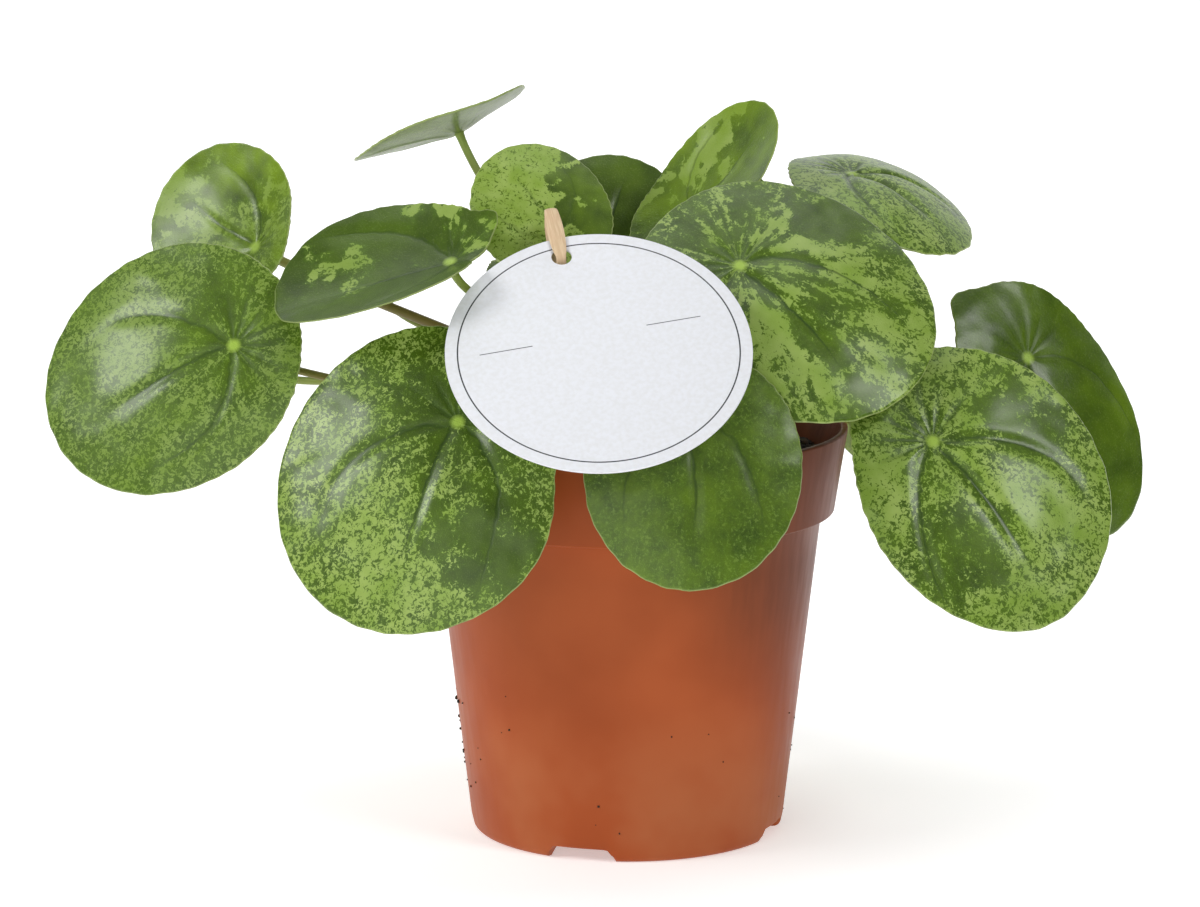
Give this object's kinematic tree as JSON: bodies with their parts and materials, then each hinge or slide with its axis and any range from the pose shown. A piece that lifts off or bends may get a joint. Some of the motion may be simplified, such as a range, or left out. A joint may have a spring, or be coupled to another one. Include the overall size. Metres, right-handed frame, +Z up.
{
  "type": "potted pilea plant",
  "caption": "Round-leaved marbled house plant with long leaf stalks, standing in a terracotta-coloured plastic nursery pot, with a round hanging card tag.",
  "frame": {"origin": "bottom centre of the whole plant's bounding box, on the plane that the pot stands on", "axes": "+Z up; the front, with the tag, faces -Y; +X is to the right seen from the front"},
  "size_m": [0.3012, 0.212, 0.204],
  "materials": {
    "pot_plastic": "satin",
    "potting_mix": "matte",
    "stem": "matte",
    "leaf_blade": "satin",
    "leaf_stalk": "satin",
    "tag_card": "matte",
    "tag_loop": "matte"
  },
  "bodies": {
    "root": {"pot": "pot_plastic", "soil": "potting_mix", "stem": "stem", "leaf_01_blade": "leaf_blade", "leaf_01_stalk": "leaf_stalk", "leaf_02_blade": "leaf_blade", "leaf_02_stalk": "leaf_stalk", "leaf_03_blade": "leaf_blade", "leaf_03_stalk": "leaf_stalk", "leaf_04_blade": "leaf_blade", "leaf_04_stalk": "leaf_stalk", "leaf_05_blade": "leaf_blade", "leaf_05_stalk": "leaf_stalk", "leaf_06_blade": "leaf_blade", "leaf_06_stalk": "leaf_stalk", "leaf_07_blade": "leaf_blade", "leaf_07_stalk": "leaf_stalk", "leaf_08_blade": "leaf_blade", "leaf_08_stalk": "leaf_stalk", "leaf_09_blade": "leaf_blade", "leaf_09_stalk": "leaf_stalk", "leaf_10_blade": "leaf_blade", "leaf_10_stalk": "leaf_stalk", "leaf_11_blade": "leaf_blade", "leaf_11_stalk": "leaf_stalk", "leaf_12_blade": "leaf_blade", "leaf_12_stalk": "leaf_stalk", "leaf_13_blade": "leaf_blade", "leaf_13_stalk": "leaf_stalk", "leaf_14_blade": "leaf_blade", "leaf_14_stalk": "leaf_stalk", "leaf_15_blade": "leaf_blade", "leaf_15_stalk": "leaf_stalk", "leaf_16_blade": "leaf_blade", "leaf_16_stalk": "leaf_stalk", "leaf_17_blade": "leaf_blade", "leaf_17_stalk": "leaf_stalk", "leaf_18_blade": "leaf_blade", "leaf_18_stalk": "leaf_stalk", "leaf_19_blade": "leaf_blade", "leaf_19_stalk": "leaf_stalk", "leaf_20_blade": "leaf_blade", "leaf_20_stalk": "leaf_stalk", "leaf_21_blade": "leaf_blade", "leaf_21_stalk": "leaf_stalk", "leaf_22_blade": "leaf_blade", "leaf_22_stalk": "leaf_stalk", "tag_card": "tag_card", "tag_loop": "tag_loop"}
  },
  "joints": []
}
